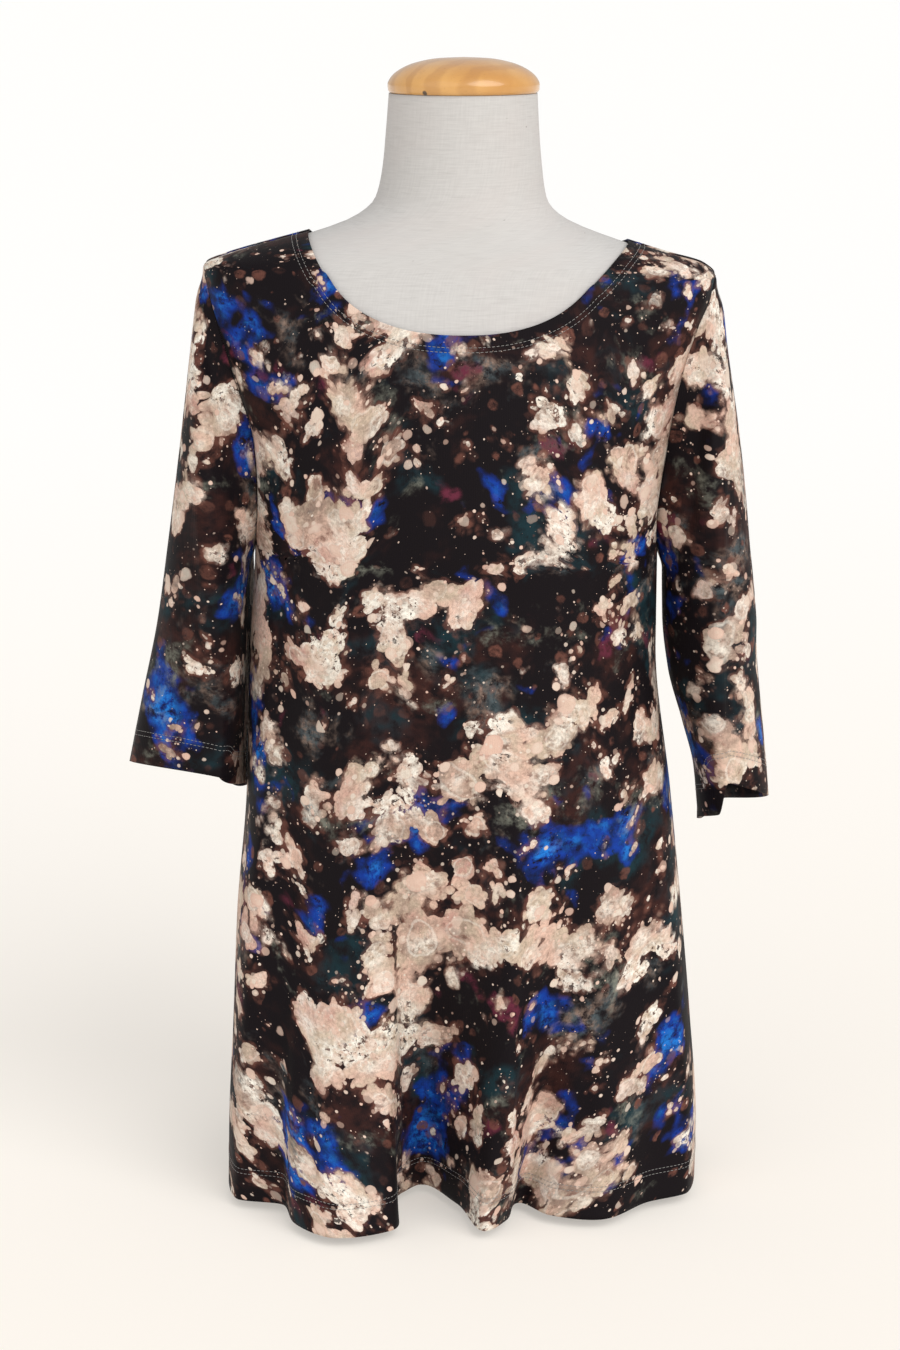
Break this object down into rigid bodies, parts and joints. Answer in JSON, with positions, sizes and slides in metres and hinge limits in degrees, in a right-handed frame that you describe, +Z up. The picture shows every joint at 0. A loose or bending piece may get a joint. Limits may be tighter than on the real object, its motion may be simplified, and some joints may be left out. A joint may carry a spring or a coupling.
{
  "type": "jersey tunic shirt on a limbless dress form",
  "caption": "Loose tunic-length jersey shirt with a wide scoop neck and three-quarter sleeves, worn on a limbless linen dress form with a neck and a domed wooden cap.",
  "frame": {"origin": "middle of the dress form's flat underside, on the surface it stands on", "axes": "+Z up, the shirt's front faces -Y, +X towards the right of the picture"},
  "size_m": [0.5159, 0.3363, 0.895],
  "materials": {
    "jersey": "matt fine knit, dark ground with beige, cream, blue and brown spatter",
    "linen": "plain off-white linen",
    "cap_wood": "clear satin varnish"
  },
  "bodies": {
    "root": {"front": "jersey", "back": "jersey", "sleeve_left": "jersey", "sleeve_right": "jersey", "form_body": "linen", "neck_cap": "cap_wood"}
  },
  "joints": []
}
